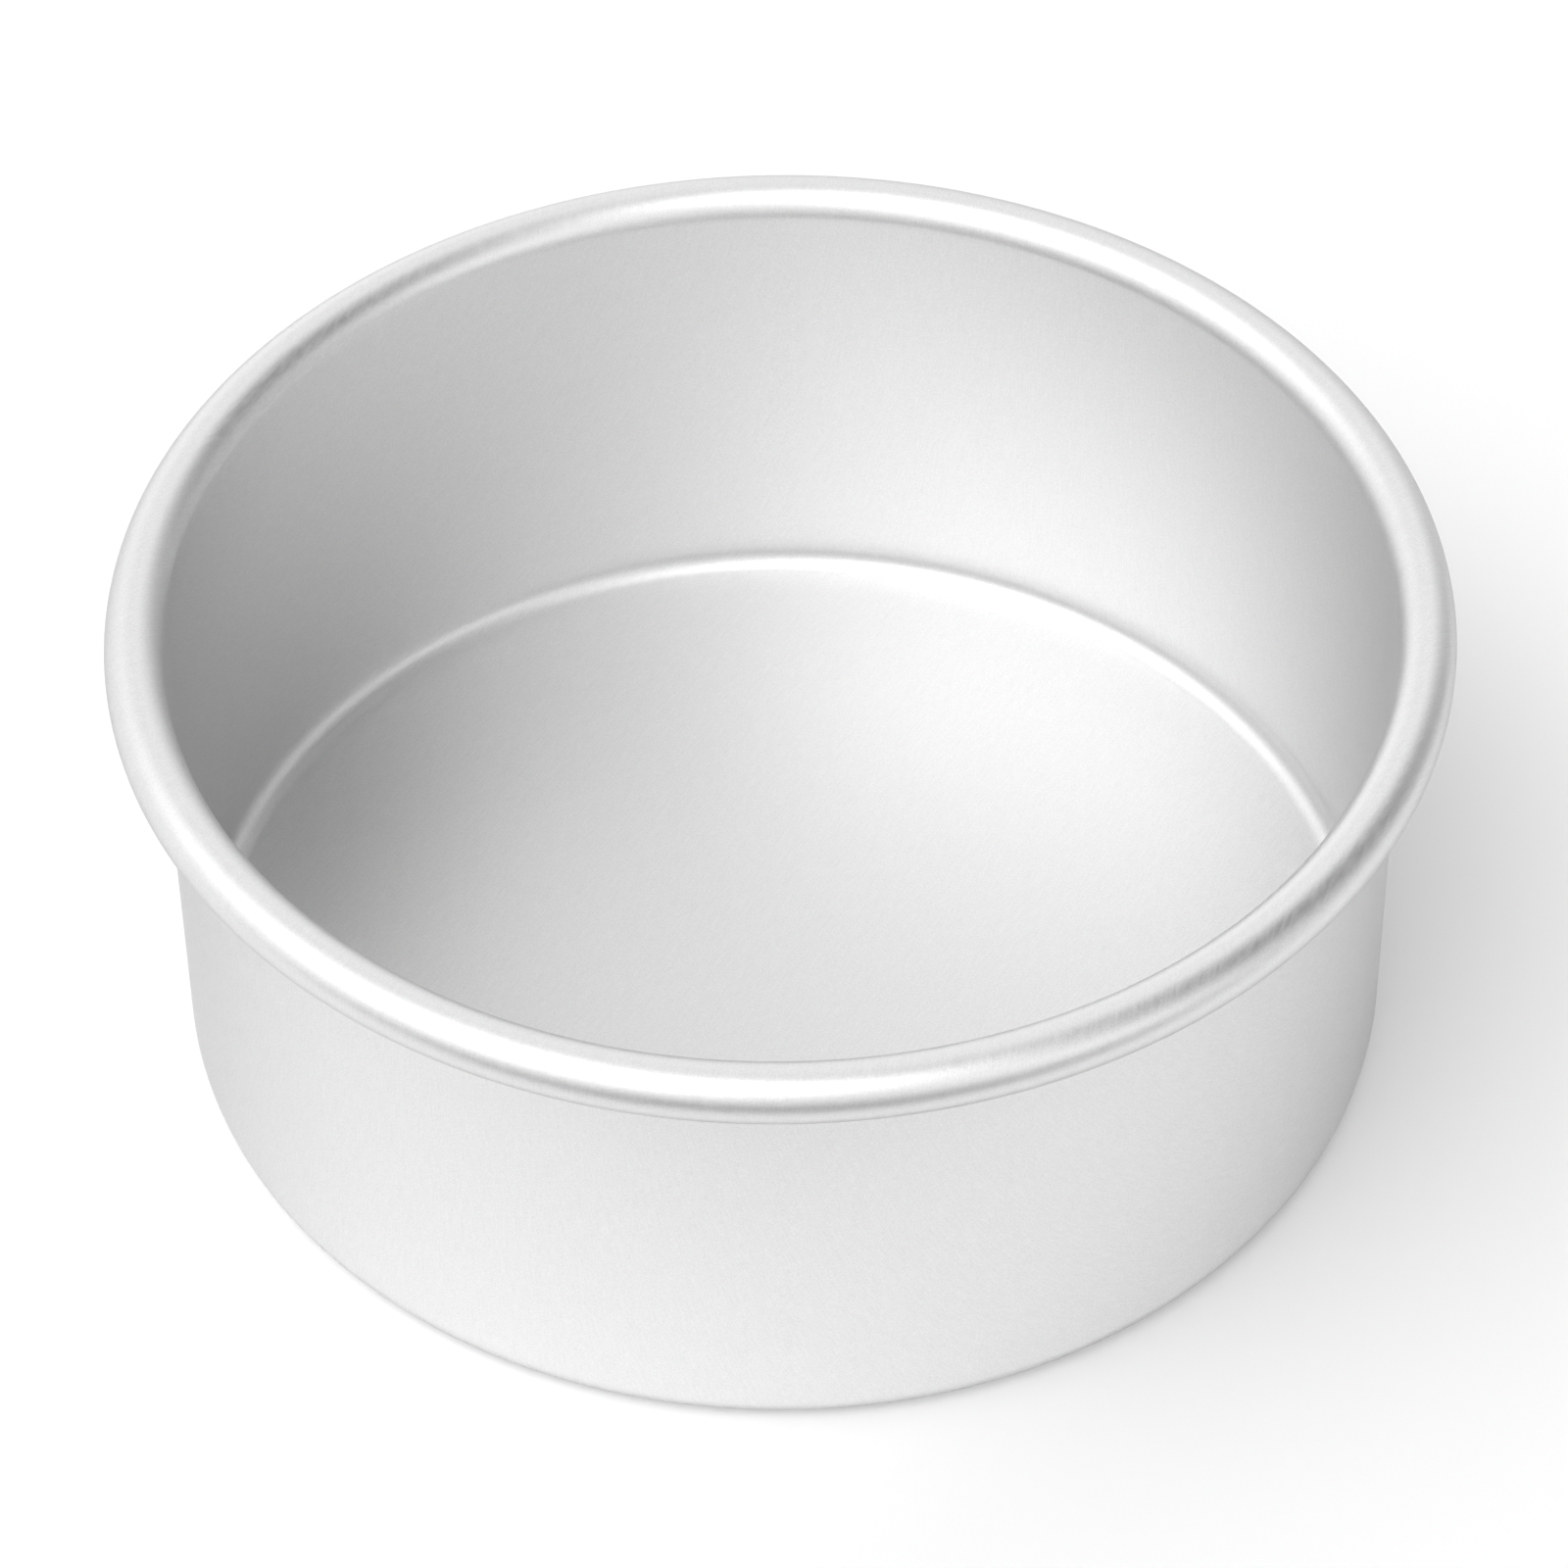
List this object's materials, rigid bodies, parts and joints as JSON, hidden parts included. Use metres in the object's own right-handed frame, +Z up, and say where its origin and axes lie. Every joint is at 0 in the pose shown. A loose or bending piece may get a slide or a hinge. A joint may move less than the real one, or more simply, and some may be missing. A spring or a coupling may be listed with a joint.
{
  "type": "round cake tin",
  "caption": "Round straight-sided cake tin drawn from one sheet, with a flat solid base, a small inside corner and a hollow rolled rim.",
  "frame": {"origin": "centre of the underside, on the plane that the tin stands on", "axes": "+Z up along the tin's axis, out of its mouth; X and Y are free, because the tin is round"},
  "size_m": [0.1946, 0.1946, 0.0774],
  "materials": {
    "anodised_aluminium": "clear satin anodising over rolled sheet, fine faint grain, no polish and no coating"
  },
  "bodies": {
    "root": {"tin_shell": "anodised_aluminium"}
  },
  "joints": []
}
